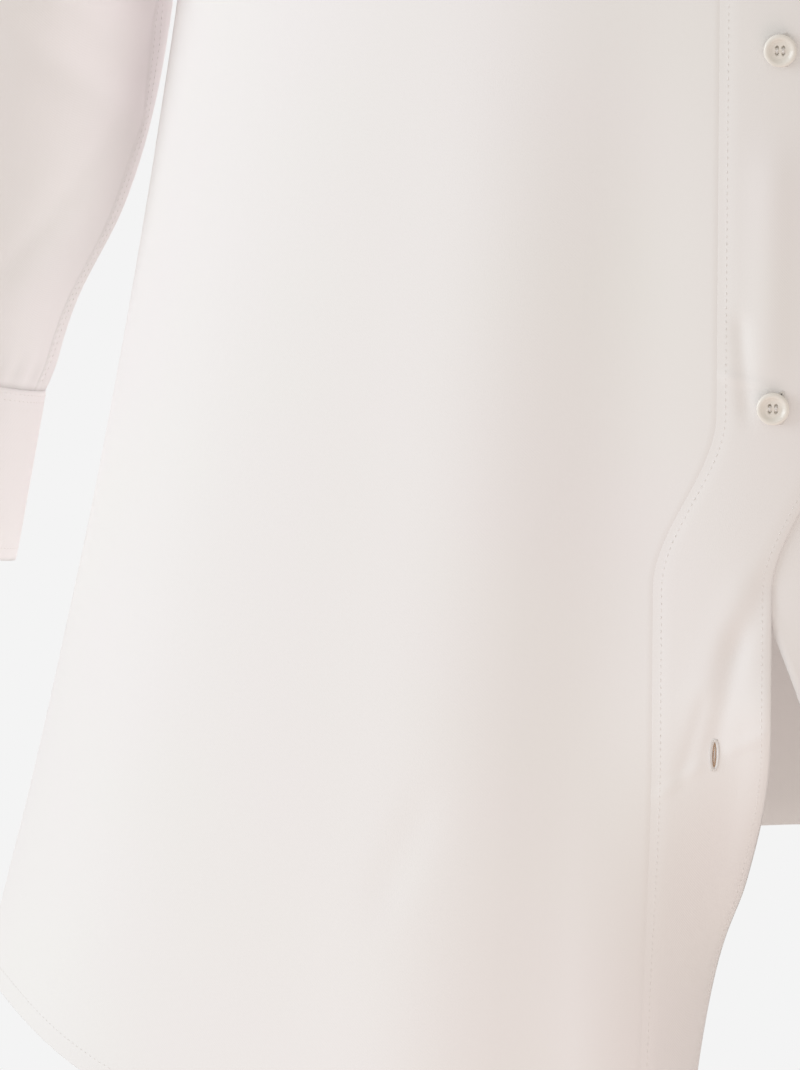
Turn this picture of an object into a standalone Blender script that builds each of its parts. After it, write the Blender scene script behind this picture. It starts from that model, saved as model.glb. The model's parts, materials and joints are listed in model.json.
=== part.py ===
"""Oversized shirt in the hollow form it has when worn, cut in cloth piece by piece.

Metres, +Z up. The wearer faces -Y, and the wearer's right is at -X. The origin is inside the neck, level
with the high shoulder points, where a wearer holds the shirt up. Fronts, back and sleeves are walls of
single cloth; front band, cuffs and collar are doubled. The right front laps over the left one. Its last
button is open, so that its free lower edge swings to the wearer's right and rolls back.
"""
import math

import bpy
import numpy as np
from mathutils import Matrix, Vector

# ------------------------------------------------------------------ driving dimensions, metres
OBJECT = "oversized_shirt"

CLOTH = 0.0013           # wall of single cloth
BAND = 0.0018            # wall of doubled cloth
SEAM = 0.0003            # between two pieces at their seam
LAP_GAP = 0.0005         # between the two fronts where they lap

NECK_HALF = 0.066        # neckline: half width, and drop at the front and at the back
NECK_DROP = {"front": 0.102, "back": 0.022}
NECK_ROUND = {"front": 1.7, "back": 1.2}
NECK_SOFT = 0.050        # how softly the shoulder line turns up at the neck
SHOULDER_ROUND = 0.70    # exponent of the curve over the shoulder seam

TIP_X = 0.222            # dropped shoulder's end, where the sleeve starts
SHOULDER_SLOPE = 0.45    # fall of the shoulder seam for each metre outwards
SHOULDER_Y = 0.005

CHEST_Z = -0.330         # chest line, at the foot of the armholes
CHEST_HALF = 0.1847
FLARE = 0.0944           # widening for each metre below the chest line
SPREAD = 0.1715          # and for each square metre
CHEST_DEPTH = {"front": 0.148, "back": 0.138}
DEPTH_FLARE = {"front": 0.045, "back": 0.040}
ARM_CUT = {"front": 33.0, "back": 27.0}   # how far the armhole cuts in, degrees round the body
ARM_ROUND = 0.6          # exponent of the armhole's curve

HEM_SIDE = -0.815        # hem at the side seams and all along the back
TAIL_DROP = 0.053        # how much lower the front tails hang
TAIL_FROM = 0.19         # cosine of the angle where the tail's curve starts
TAIL_RUN = 1.15

PLACKET = 0.0395         # width of the front band
UNDERLAP = 0.017         # left front past the centre line
BUTTON_PITCH = 0.120
BUTTON_TOP = -0.213      # first button below the collar's own
BUTTON_COUNT = 6         # with the collar's
LAST_CLOSED = BUTTON_TOP - (BUTTON_COUNT - 3) * BUTTON_PITCH
OPEN_HOLE = LAST_CLOSED - BUTTON_PITCH

SWING_TOP = LAST_CLOSED - 0.003
SWING = 0.021            # right front's edge, moved to the wearer's right from SWING_TOP down
SWING_END = -0.636
DRIFT = 0.012            # and further for each metre below DRIFT_FROM
DRIFT_FROM = -0.700
ROLL_FROM = -0.670       # free edge starts to roll back
ROLL_LENGTH = 0.0408
ROLL_SOFT = 0.100
ROLL_MAX = math.radians(68.0)
ROLL_LEAD = 0.025        # the roll starts this far inside the band's seam
ROLL_BEND = 0.035        # length of cloth that bends

PART_TOP = LAST_CLOSED - 0.015
PART = 0.033             # left front's edge, moved to the wearer's left from PART_TOP down
PART_END = -0.713
PART_DRIFT = 0.130
LAP_FLAT = 0.024         # the left front lies under the band as far as this
LAP_RAMP = 0.024
LAP_NECK = 0.0012        # further in at the neck's tight curve, fading out by LAP_NECK_END
LAP_NECK_END = -0.190

# Largest folds. angle: degrees from the panel's middle at the chest and at the hem; width: degrees;
# height: out of the cloth at the hem; top: where it starts.
FOLD_COLUMNS = ("angle", "hem_angle", "width", "height", "top")
FOLDS = {
    "front": (
        (-58.0, -60.0, 11.0, 0.0020, -0.420),
        (-27.0, -27.0, 8.0, 0.0042, -0.330),
        (-12.5, -13.5, 7.5, -0.0052, -0.330),
        (15.0, 17.0, 7.5, -0.0060, -0.340),
        (31.0, 33.0, 8.0, 0.0065, -0.360),
        (50.0, 51.0, 8.5, -0.0050, -0.420),
        (68.0, 67.0, 8.0, 0.0040, -0.450),
    ),
    "back": (
        (-66.0, -67.0, 8.5, 0.0040, -0.430),
        (-47.0, -49.0, 9.0, -0.0060, -0.360),
        (-28.0, -31.0, 9.0, 0.0080, -0.330),
        (-10.0, -11.0, 8.5, -0.0070, -0.340),
        (9.0, 8.0, 8.5, 0.0060, -0.380),
        (27.0, 29.0, 9.0, -0.0070, -0.340),
        (46.0, 48.0, 8.5, 0.0070, -0.390),
        (65.0, 66.0, 8.5, -0.0040, -0.430),
    ),
}
FOLD_RUN = 0.220         # a fold is fully out this far below its top
FOLD_START = 0.55        # with this share of its height, which grows to the whole at the hem
FOLD_SIDE = 13.0         # degrees over which folds fade towards a side seam

# Sleeve: route of its middle from the armhole to the cuff, on the wearer's left (mirrored to the right)
SLEEVE_ROUTE = ((0.205, 0.000, -0.200), (0.245, 0.020, -0.290), (0.262, 0.075, -0.462), (0.2897, 0.045, -0.612))
SLEEVE_COLUMNS = ("along", "half_width", "half_depth")
SLEEVE_TABLE = (
    (0.00, 0.046, 0.092),
    (0.30, 0.047, 0.088),
    (0.50, 0.052, 0.085),
    (0.70, 0.0625, 0.078),
    (0.85, 0.0565, 0.066),
    (0.93, 0.0450, 0.051),
    (1.00, 0.0405, 0.0400),
)
SLEEVE_PUSH = 0.12       # how far the armhole's form is carried into the sleeve
SLEEVE_WAY = np.array((0.93, 0.0, -0.37))   # and which way
SLEEVE_BLEND = 0.45      # share of the sleeve over which it turns into a plain tube
SLEEVE_TUCK = 0.0005     # the sleeve starts this far inside the armhole's edge

CUFF_HEIGHT = 0.060
CUFF_HALF_WIDTH = 0.0385
CUFF_HALF_DEPTH = 0.0365
CUFF_OPENING = 235.0     # where the cuff laps, degrees from its outer side by way of the front

STAND_HEIGHT = 0.031
STAND_INSET = 0.0005     # the stand is sewn this far inside the neckline's edge
STAND_LIFT = 0.0026      # and as far over it as the cloth is thick there
STAND_LEAN = 0.004
LEAF_FRONT_GAP = 3.0     # collar leaf's ends: degrees from the centre front at the fold
LEAF_SPREAD = 34.0       # and how much further apart at the points
LEAF_POINT = 1.2         # exponent of the way to the points
LEAF_OUT = {"back": 0.0145, "front": 0.0260}    # leaf's lower edge, out from the neckline
LEAF_CLEAR = 0.0056      # and over the cloth it lies on
LEAF_LIFT = 0.0016       # its fold over the stand's top edge
LEAF_FALL = -0.010       # it hangs no lower than this at the back
LEAF_COLUMNS = ("out", "up")   # its fold: out from the neckline and up from the fold's top
LEAF_FOLD = ((-0.0052, 0.0), (-0.0010, 0.012), (0.0105, -0.006))

BUTTON_RADIUS = 0.0055
BUTTON_THICK = 0.0026
BUTTON_SEAT = 0.0003

# mesh fineness
UPPER_ROWS = 12          # chest line to shoulder, also half of the sleeve's ring
LOWER_ROWS = 18          # chest line to hem
NECK_STEP = 15.0         # degrees round the neckline between columns and between the collar's points
SIDE_COLUMNS = 11
PLACKET_COLUMNS = 3
SLEEVE_ROWS = 18
RING = 24                # points round a cuff or the collar
LAP_STEPS = 2            # ring steps that a closed band laps itself
LEAF_ROWS = 7
UP = np.array((0.0, 0.0, 1.0))
MIRROR = np.array((-1.0, 1.0, 1.0))

CLOTH_FINISH = {"color": (0.86, 0.83, 0.81, 1.0), "roughness": 0.80}
BUTTON_FINISH = {"color": (0.88, 0.86, 0.82, 1.0), "roughness": 0.30}


# ------------------------------------------------------------------ small helpers
def smooth(t):
    """Soft step: 0 below 0, 1 above 1, and 3t^2 - 2t^3 between."""
    t = np.clip(t, 0.0, 1.0)
    return t * t * (3.0 - 2.0 * t)


def through(x, xs, ys):
    """A smooth curve through the table's points: cubic pieces that share their slopes."""
    xs, ys = np.asarray(xs, float), np.asarray(ys, float)
    slopes = np.gradient(ys, xs)
    i = np.clip(np.searchsorted(xs, x, side="right") - 1, 0, len(xs) - 2)
    step = xs[i + 1] - xs[i]
    t = (x - xs[i]) / step
    rise = (2 * t**3 - 3 * t**2 + 1) * ys[i] + (3 * t**2 - 2 * t**3) * ys[i + 1]
    return rise + step * ((t**3 - 2 * t**2 + t) * slopes[i] + (t**3 - t**2) * slopes[i + 1])


def unit(vectors):
    return vectors / np.linalg.norm(vectors, axis=-1, keepdims=True)


# ------------------------------------------------------------------ the body's form
def half_width(z):
    """Half of the body's width at a height below the chest line."""
    drop = CHEST_Z - z
    return CHEST_HALF + FLARE * drop + SPREAD * drop**2


def body_depth(z, part):
    return CHEST_DEPTH[part] + DEPTH_FLARE[part] * (CHEST_Z - z)


def fold_height(angle, z, folds):
    """Sum of the panel's folds: each a bell across its angle that grows from its top towards the hem."""
    total = np.zeros(np.broadcast(angle, z).shape)
    for row in folds:
        fold = dict(zip(FOLD_COLUMNS, row))
        low = np.clip((CHEST_Z - z) / (CHEST_Z - HEM_SIDE), 0.0, 1.0)
        middle = fold["angle"] + (fold["hem_angle"] - fold["angle"]) * low
        grown = smooth((fold["top"] - z) / FOLD_RUN) * (FOLD_START + (1 - FOLD_START) * low)
        total = total + fold["height"] * grown * np.exp(-(((angle - middle) / fold["width"]) ** 2))
    return total * smooth((90.0 - np.abs(angle)) / FOLD_SIDE)


def lower_point(angle, z, part, side=1):
    """Below the chest line: an ellipse at each height, moved out by the folds. side -1 mirrors the folds."""
    facing = -1.0 if part == "front" else 1.0
    a, b = half_width(z), body_depth(z, part)
    sine, cosine = np.sin(angle), np.cos(angle)
    out = np.stack((sine / a, facing * cosine / b), axis=-1)
    out = unit(out) * fold_height(side * np.degrees(angle), z, FOLDS[part])[..., None]
    return np.stack((a * sine + out[..., 0], facing * b * cosine + out[..., 1], z), axis=-1)


def upper_reach(v):
    """Half width of the form above the chest line, v going from 0 there to 1 at the shoulder."""
    rise = CHEST_Z - ridge_z(TIP_X)
    return CHEST_HALF + FLARE * rise * v * (1 - v) ** 2 + (TIP_X - CHEST_HALF) * v**3


def ridge_z(across):
    """Shoulder line: a hyperbola, level at the middle, straight outwards, 0 at the sides of the neck."""
    return SHOULDER_SLOPE * (math.hypot(NECK_HALF, NECK_SOFT) - np.hypot(across, NECK_SOFT))


def form_y(x, z, part):
    """Depth of the form above the chest line: the chest's ellipse, closing over the shoulder line."""
    facing = -1.0 if part == "front" else 1.0
    v = np.clip((z - CHEST_Z) / (ridge_z(x) - CHEST_Z), 0.0, 1.0)
    rise = CHEST_Z - ridge_z(TIP_X)
    bulge = CHEST_DEPTH[part] + DEPTH_FLARE[part] * rise * v * (1 - v) ** 2
    full = (1 - v**2) ** SHOULDER_ROUND
    ellipse = np.sqrt(np.clip(1 - (x / upper_reach(v)) ** 2, 0.0, 1.0))
    return full * facing * bulge * ellipse + (1 - full) * (SHOULDER_Y + facing * SEAM / 2)


def neck_z(across, part):
    """Height of the neckline at a distance from the middle."""
    return -NECK_DROP[part] * np.clip(1 - (across / NECK_HALF) ** 2, 0.0, 1.0) ** (NECK_ROUND[part] / 2)


def upper_point(turn, v, part):
    """Above the chest line: a column starts at its angle on the chest's ellipse and ends on the neckline or
    the shoulder line. The armhole cuts in most at the side."""
    top_x = np.abs(TIP_X * np.sin(turn))
    top_z = np.where(top_x < NECK_HALF, neck_z(top_x, part), ridge_z(top_x))
    cut = math.radians(ARM_CUT[part]) * (4 * v * (1 - v)) ** ARM_ROUND
    share = turn / side_angle(part)
    x = upper_reach(v) * np.sin(turn - cut * share * np.abs(share))
    z = CHEST_Z + (top_z - CHEST_Z) * v
    return np.stack(np.broadcast_arrays(x, form_y(x, z, part), z), axis=-1)


def side_angle(part):
    """Angle of the side seam's edge: a right angle less half of the seam."""
    return math.pi / 2 - SEAM / 2 / CHEST_DEPTH[part]


def hem_z(angle):
    """Front hem: level at the side seam, with a round drop to the tail."""
    return HEM_SIDE - TAIL_DROP * smooth((np.cos(angle) - TAIL_FROM) / TAIL_RUN)


# ------------------------------------------------------------------ the two fronts and the band
def right_edge(z):
    """Band's seam on the right front, from the centre line towards the wearer's right."""
    swing = SWING * smooth((SWING_TOP - z) / (SWING_TOP - SWING_END))
    return PLACKET / 2 + SEAM + swing + DRIFT * np.maximum(DRIFT_FROM - z, 0.0)


def left_edge(z):
    """Left front's free edge, from the centre line towards the wearer's left."""
    part = PART * smooth((PART_TOP - z) / (PART_TOP - PART_END))
    return -UNDERLAP + part + PART_DRIFT * np.maximum(PART_END - z, 0.0)


def roll_back(points):
    """Roll the right front's free edge into the body: an arc of growing angle, then a straight run."""
    z = points[..., 2]
    start = right_edge(z) + ROLL_LEAD
    drop = np.maximum(ROLL_FROM - z, 0.0)
    angle = ROLL_MAX * (1 - np.exp(-(drop**2) / (drop + ROLL_SOFT) / ROLL_LENGTH))
    bend = np.maximum(angle / ROLL_BEND, 1e-6)
    along = np.maximum(start - points[..., 0], 0.0)
    curved, straight = np.minimum(along, ROLL_BEND), np.maximum(along - ROLL_BEND, 0.0)
    across = np.sin(bend * curved) / bend + straight * np.cos(angle)
    back = (1 - np.cos(bend * curved)) / bend + straight * np.sin(angle)
    rolled = points.copy()
    rolled[..., 0] = np.where(along > 0, start - across, points[..., 0])
    rolled[..., 1] += back
    return rolled


def lap_under(points):
    """Sink the left front under the band by the wall and the gap, and bring it back up beyond."""
    sunk = 1 - smooth((points[..., 0] - LAP_FLAT) / LAP_RAMP)
    lapped = points.copy()
    at_neck = smooth((points[..., 2] - LAP_NECK_END) / (-NECK_DROP["front"] - LAP_NECK_END))
    lapped[..., 1] += (CLOTH + LAP_GAP + LAP_NECK * at_neck) * sunk
    return lapped


def upper_steps():
    """Heights above the chest line, closest together at the armhole's foot and at the shoulder."""
    return 0.5 * (1 - np.cos(np.pi * np.arange(UPPER_ROWS, -1, -1) / UPPER_ROWS))[:, None]


def lower_steps():
    return (np.arange(1, LOWER_ROWS + 1) / LOWER_ROWS)[:, None]


def column_tops(edge_x, part):
    """Upper ends of a panel's columns: its edge, then even steps round the neckline, then the shoulder."""
    first = math.degrees(math.asin(edge_x / NECK_HALF))
    steps = np.arange(NECK_STEP * math.ceil((first + 2.0) / NECK_STEP), 90.1, NECK_STEP)
    round_neck = np.radians(np.concatenate(((first,), steps)))
    on_neck = np.arcsin(NECK_HALF * np.sin(round_neck) / TIP_X)
    return np.concatenate((on_neck, np.linspace(on_neck[-1], side_angle(part), SIDE_COLUMNS + 1)[1:]))


def panel_shares(edge_x, part):
    """Where a panel's columns lie between its edge and its side."""
    tops = column_tops(edge_x, part)
    return (tops - tops[0]) / (tops[-1] - tops[0])


def front_points(edge, angles, side):
    """Rows of a front from the neck down, measured from the centre line towards its own side. angles gives
    a row's columns from its reach, its edge and its end."""
    end = side_angle("front")
    top_edge = edge(CHEST_Z)
    v = upper_steps()
    upper = upper_point(angles(upper_reach(v), top_edge, end), v, "front")
    z = CHEST_Z + (hem_z(angles(CHEST_HALF, top_edge, end)) - CHEST_Z) * lower_steps()
    lower = lower_point(angles(half_width(z), edge(z), end), z, "front", side)
    return np.concatenate((upper, lower), axis=0)


def panel_angles(shares):
    def angles(reach, edge_x, end):
        start = np.arcsin(edge_x / reach)
        return start + (end - start) * shares
    return angles


def band_angles(offsets):
    def angles(reach, edge_x, end):
        return np.arcsin((edge_x - offsets) / reach)
    return angles


def right_front_points():
    shares = panel_shares(float(right_edge(CHEST_Z)), "front")
    return roll_back(front_points(right_edge, panel_angles(shares), -1))


def placket_points():
    offsets = SEAM + PLACKET * np.arange(PLACKET_COLUMNS + 1) / PLACKET_COLUMNS
    return roll_back(front_points(right_edge, band_angles(offsets), -1))


def left_front_points():
    shares = panel_shares(float(left_edge(CHEST_Z)), "front")
    return lap_under(front_points(left_edge, panel_angles(shares), 1))


def back_points():
    """The back from one side seam to the other: mirrored columns, with its own folds."""
    half = column_tops(0.0, "back")
    tops = np.concatenate((-half[:0:-1], half))
    v = upper_steps()
    upper = upper_point(tops * np.ones_like(v), v, "back")
    z = CHEST_Z + (HEM_SIDE - CHEST_Z) * lower_steps() * np.ones_like(tops)
    lower = lower_point(tops * np.ones_like(z), z, "back")
    return np.concatenate((upper, lower), axis=0)


# ------------------------------------------------------------------ sleeve and cuff
def armhole_ring():
    """The armhole's edge: from the shoulder's end down the front to the underarm and up the back."""
    turn = 2 * np.pi * np.arange(2 * UPPER_ROWS) / (2 * UPPER_ROWS)
    v = 0.5 * (1 + np.cos(turn))
    edges = {part: upper_point(side_angle(part) * np.ones_like(v), v, part) for part in ("front", "back")}
    ring = np.where((turn <= np.pi)[:, None], edges["front"], edges["back"])
    for i in (0, UPPER_ROWS):
        ring[i] = (edges["front"][i] + edges["back"][i]) / 2
    return turn, ring


def route(s):
    """Point and direction on the sleeve's middle: a cubic curve through the four route points' hull."""
    p = np.array(SLEEVE_ROUTE)
    s = np.asarray(s, float)[..., None]
    point = (1 - s)**3 * p[0] + 3 * (1 - s)**2 * s * p[1] + 3 * (1 - s) * s**2 * p[2] + s**3 * p[3]
    way = (1 - s)**2 * (p[1] - p[0]) + 2 * (1 - s) * s * (p[2] - p[1]) + s**2 * (p[3] - p[2])
    return point, unit(way)


def route_frame(s):
    """The middle's point, its direction, and the two directions across it: outwards and to the front."""
    point, way = route(s)
    outwards = unit(np.array((1.0, 0.0, 0.0)) - way[..., :1] * way)
    return point, way, outwards, np.cross(way, outwards)


def sleeve_points():
    """Rings along the sleeve: the armhole's form, carried on a little, turning into ellipses on the route."""
    turn, ring = armhole_ring()
    inward = unit(ring.mean(axis=0) - ring)
    ring = ring + SLEEVE_TUCK * inward
    s = np.linspace(0, 1, SLEEVE_ROWS + 1)
    table = dict(zip(SLEEVE_COLUMNS, np.array(SLEEVE_TABLE).T))
    wide = through(s, table["along"], table["half_width"])[:, None, None]
    deep = through(s, table["along"], table["half_depth"])[:, None, None]
    point, way, outwards, front = (array[:, None, :] for array in route_frame(s))
    ovals = point + wide * np.cos(turn)[:, None] * outwards + deep * np.sin(turn)[:, None] * front
    carried = ring + SLEEVE_PUSH * s[:, None, None] * SLEEVE_WAY
    share = smooth(s / SLEEVE_BLEND)[:, None, None]
    return (1 - share) * carried + share * ovals


def lap_turns():
    """Angles of a band that closes on itself, and how far its start lies inside its end to lap under it."""
    step = 2 * math.pi / RING
    turns = np.arange(RING + LAP_STEPS + 1) * step
    inside = (BAND + LAP_GAP) * (1 - smooth((turns / step - LAP_STEPS) / 3))
    return turns, inside


def cuff_points():
    point, way, outwards, front = route_frame(1.0)
    turns, inside = lap_turns()
    angle = (turns + math.radians(CUFF_OPENING))[:, None]
    wide, deep = CUFF_HALF_WIDTH - inside[:, None], CUFF_HALF_DEPTH - inside[:, None]
    ring = wide * np.cos(angle) * outwards + deep * np.sin(angle) * front
    steps = (SEAM + CUFF_HEIGHT * np.array((0.0, 0.08, 0.92, 1.0)))[:, None, None]
    return point + way * steps + ring[None, :, :]


# ------------------------------------------------------------------ collar
def neck_point(angle):
    """Neckline on the form, from the centre front (0) round by the wearer's left."""
    x = NECK_HALF * np.sin(angle)
    at_front = np.cos(angle) > 0
    z = np.where(at_front, neck_z(x, "front"), neck_z(x, "back"))
    y = np.where(at_front, form_y(x, z, "front"), form_y(x, z, "back"))
    return np.stack((x, y, z), axis=-1)


def neckline(angle):
    """The neckline's points and its level outward directions."""
    out = np.cross(neck_point(angle + 0.02) - neck_point(angle - 0.02), UP)
    return neck_point(angle), unit(out * (1.0 - UP))


def stand_points():
    """Collar stand's outer face: up from just inside the neckline, leaning in, lapped at the centre front."""
    turns, inside = lap_turns()
    point, out = neckline(turns - math.radians(LAP_STEPS / 2 * 360 / RING))
    share = np.array((1.0, 0.5, 0.0))[:, None]
    inset = STAND_INSET + inside + STAND_LEAN * share
    return point + UP * (STAND_LIFT + STAND_HEIGHT * share)[..., None] - out * inset[..., None]


def form_z(x, y):
    """Height of the form over each place near the neck, found by halving."""
    facing = np.where(y > SHOULDER_Y, 1.0, -1.0)
    low, high = np.full_like(x, CHEST_Z), ridge_z(x)
    for _ in range(24):
        middle = (low + high) / 2
        there = np.where(facing > 0, form_y(x, middle, "back"), form_y(x, middle, "front"))
        beyond = facing * (there - y) > 0
        low, high = np.where(beyond, middle, low), np.where(beyond, high, middle)
    return low


def leaf_points():
    """Collar leaf: from the stand's top over a tight fold and down outside, its ends spreading to points."""
    w = np.linspace(0, 1, LEAF_ROWS)[:, None]
    end = np.radians(LEAF_FRONT_GAP + LEAF_SPREAD * w**LEAF_POINT)
    steps = np.concatenate(((LEAF_FRONT_GAP,), np.arange(NECK_STEP, 360, NECK_STEP), (360 - LEAF_FRONT_GAP,)))
    angle = math.pi + (steps - 180) / (180 - LEAF_FRONT_GAP) * (math.pi - end)
    point, out = neckline(angle)
    facing = np.cos(angle[-1])
    low_out = LEAF_OUT["back"] + (LEAF_OUT["front"] - LEAF_OUT["back"]) * smooth((facing + 0.7) / 0.9)
    low = point[-1] + out[-1] * low_out[:, None]
    landing = form_z(low[:, 0], low[:, 1]) + LEAF_CLEAR - point[-1, :, 2]
    at_back = smooth((-facing - 0.1) / 0.6)
    low_up = np.maximum(landing, landing * (1 - at_back) + LEAF_FALL * at_back)
    top = STAND_LIFT + STAND_HEIGHT + LEAF_LIFT
    fold = dict(zip(LEAF_COLUMNS, np.array(LEAF_FOLD).T))
    weights = ((1 - w)**3, 3 * (1 - w)**2 * w, 3 * (1 - w) * w**2)
    across = sum(weight * out_by for weight, out_by in zip(weights, fold["out"])) + w**3 * low_out
    height = sum(weight * (top + up_by) for weight, up_by in zip(weights, fold["up"])) + w**3 * low_up
    return point + out * across[..., None] + UP * height[..., None]


# ------------------------------------------------------------------ objects
def finish(name, look):
    material = bpy.data.materials.new(name)
    material.use_nodes = True
    shader = material.node_tree.nodes["Principled BSDF"]
    shader.inputs["Base Color"].default_value = look["color"]
    shader.inputs["Roughness"].default_value = look["roughness"]
    shader.inputs["Metallic"].default_value = 0.0
    return material


def cloth_object(name, points, wall, collection, side=1, closed=False, outwards=True):
    """A wall of cloth: the grid's faces as one open surface, thickened by Solidify.

    The grid's rows run down the piece and its columns to the wearer's left. side -1 mirrors it. closed
    joins the last column to the first. outwards says on which side of the grid the wall lies.
    """
    rows, columns = points.shape[:2]
    corners = points.reshape(-1, 3) * (MIRROR if side < 0 else 1.0)
    across = columns if closed else columns - 1
    r, c = np.meshgrid(np.arange(rows - 1), np.arange(across), indexing="ij")
    nxt = (c + 1) % columns
    faces = np.stack((r * columns + c, (r + 1) * columns + c, (r + 1) * columns + nxt, r * columns + nxt), axis=-1)
    faces = faces.reshape(-1, 4)
    if side < 0:
        faces = faces[:, ::-1]
    mesh = bpy.data.meshes.new(name)
    mesh.from_pydata(corners.tolist(), [], faces.tolist())
    mesh.shade_smooth()
    mesh.materials.append(finish(name, CLOTH_FINISH))
    piece = bpy.data.objects.new(name, mesh)
    collection.objects.link(piece)
    thick = piece.modifiers.new("wall", "SOLIDIFY")
    thick.thickness = wall
    thick.offset = 1.0 if outwards else -1.0
    return piece


def button_object(name, seat, out, collection):
    """A button turned on its own axis: raised rim, dished middle. seat is the cloth's face under it."""
    r, t = BUTTON_RADIUS, BUTTON_THICK
    profile = ((0.0, t * 0.60), (r * 0.55, t * 0.60), (r * 0.72, t), (r * 0.90, t), (r, t * 0.70),
               (r, t * 0.30), (r * 0.80, 0.0), (0.0, 0.0))
    mesh = bpy.data.meshes.new(name)
    mesh.from_pydata([(x, 0.0, z) for x, z in profile], [(i, i + 1) for i in range(len(profile) - 1)], [])
    mesh.materials.append(finish(name, BUTTON_FINISH))
    piece = bpy.data.objects.new(name, mesh)
    collection.objects.link(piece)
    turned = piece.modifiers.new("turned", "SCREW")
    turned.axis = "Z"
    turned.steps = turned.render_steps = 14
    turned.use_merge_vertices = True
    turned.merge_threshold = 0.00005
    turned.use_smooth_shade = False
    facing = Vector(out).to_track_quat("Z", "Y").to_matrix().to_4x4()
    piece.matrix_world = Matrix.Translation(Vector(seat) + Vector(out) * BUTTON_SEAT) @ facing
    return piece


def on_grid(points, row, column, away):
    """Point at fractional row and column of a grid, and the cloth's direction there on the side of away."""
    r, c = int(row), int(column)
    fr, fc = row - r, column - c
    a, b, d, e = points[r, c], points[r, c + 1], points[r + 1, c], points[r + 1, c + 1]
    point = (1 - fr) * ((1 - fc) * a + fc * b) + fr * ((1 - fc) * d + fc * e)
    out = unit(np.cross((1 - fc) * (d - a) + fc * (e - b), (1 - fr) * (b - a) + fr * (e - d)))
    return point, out * np.sign(out @ away)


def row_at(points, column, z):
    """Fractional row where a column's cloth passes the height z."""
    heights = points[:, column, 2]
    return float(np.interp(-z, -heights, np.arange(len(heights))))


def clear_scene():
    for item in list(bpy.data.objects):
        bpy.data.objects.remove(item, do_unlink=True)


def build():
    clear_scene()
    shirt = bpy.data.collections.new(OBJECT)
    bpy.context.scene.collection.children.link(shirt)

    placket, left_front = placket_points() * MIRROR, left_front_points()
    cloth_object("front_right", right_front_points(), CLOTH, shirt, side=-1)
    cloth_object("placket", placket, BAND, shirt)
    cloth_object("front_left", left_front, CLOTH, shirt)
    cloth_object("back", back_points()[:, ::-1], CLOTH, shirt)

    sleeve, cuff = sleeve_points()[:, ::-1], cuff_points()[:, ::-1]
    for label, side in (("left", 1), ("right", -1)):
        cloth_object(f"sleeve_{label}", sleeve, CLOTH, shirt, side=side, closed=True, outwards=False)
        cloth_object(f"cuff_{label}", cuff, BAND, shirt, side=side)

    stand = stand_points()
    cloth_object("collar_stand", stand, BAND, shirt, outwards=False)
    cloth_object("collar_leaf", leaf_points(), BAND, shirt)

    forwards = np.array((0.0, -1.0, 0.0))
    point, out = on_grid(stand, 1.0, RING + LAP_STEPS / 2, forwards)
    button_object("button_1", point, out, shirt)
    for number in range(2, BUTTON_COUNT):
        z = BUTTON_TOP - (number - 2) * BUTTON_PITCH
        point, out = on_grid(placket, row_at(placket, 1, z), PLACKET_COLUMNS / 2, forwards)
        button_object(f"button_{number}", point + out * BAND, out, shirt)
    point, out = on_grid(left_front, row_at(left_front, 1, OPEN_HOLE), 1.2, forwards)
    button_object(f"button_{BUTTON_COUNT}", point + out * CLOTH, out, shirt)
    point, out = on_grid(cuff, 1.5, LAP_STEPS / 2, cuff[1, 1] - route(1.0)[0])
    for label, flip in (("left", np.ones(3)), ("right", MIRROR)):
        button_object(f"button_cuff_{label}", (point + out * BAND) * flip, out * flip, shirt)


build()
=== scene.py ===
"""Oversized off-white shirt in worn hollow form: fine cloth, seams, stitching and buttons on its solids.

Metres, +Z up, the wearer faces -Y. Every panel is the solid's own form on a finer grid, moved along its
outward direction by its folds and creases, and given the thickness of cloth.
"""
import json
import math

import bmesh
import bpy
import numpy as np
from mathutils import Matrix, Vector

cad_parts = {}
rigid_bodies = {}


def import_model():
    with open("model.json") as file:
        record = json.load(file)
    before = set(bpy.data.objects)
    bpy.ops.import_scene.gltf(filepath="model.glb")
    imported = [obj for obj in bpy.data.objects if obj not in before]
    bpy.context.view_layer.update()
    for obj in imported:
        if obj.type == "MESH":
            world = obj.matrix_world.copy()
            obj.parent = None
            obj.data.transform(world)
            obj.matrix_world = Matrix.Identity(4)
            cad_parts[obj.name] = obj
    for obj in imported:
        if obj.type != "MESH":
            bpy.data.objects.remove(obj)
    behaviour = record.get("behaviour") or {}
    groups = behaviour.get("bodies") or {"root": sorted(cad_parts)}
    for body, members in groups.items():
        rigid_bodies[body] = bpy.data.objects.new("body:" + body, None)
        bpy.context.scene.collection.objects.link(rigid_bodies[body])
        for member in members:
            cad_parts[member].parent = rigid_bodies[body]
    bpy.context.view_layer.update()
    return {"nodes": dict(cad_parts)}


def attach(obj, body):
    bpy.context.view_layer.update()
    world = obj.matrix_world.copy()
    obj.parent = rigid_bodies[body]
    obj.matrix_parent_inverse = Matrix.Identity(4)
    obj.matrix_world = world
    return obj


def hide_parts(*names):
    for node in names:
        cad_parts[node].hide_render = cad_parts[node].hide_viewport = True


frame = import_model()

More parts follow.
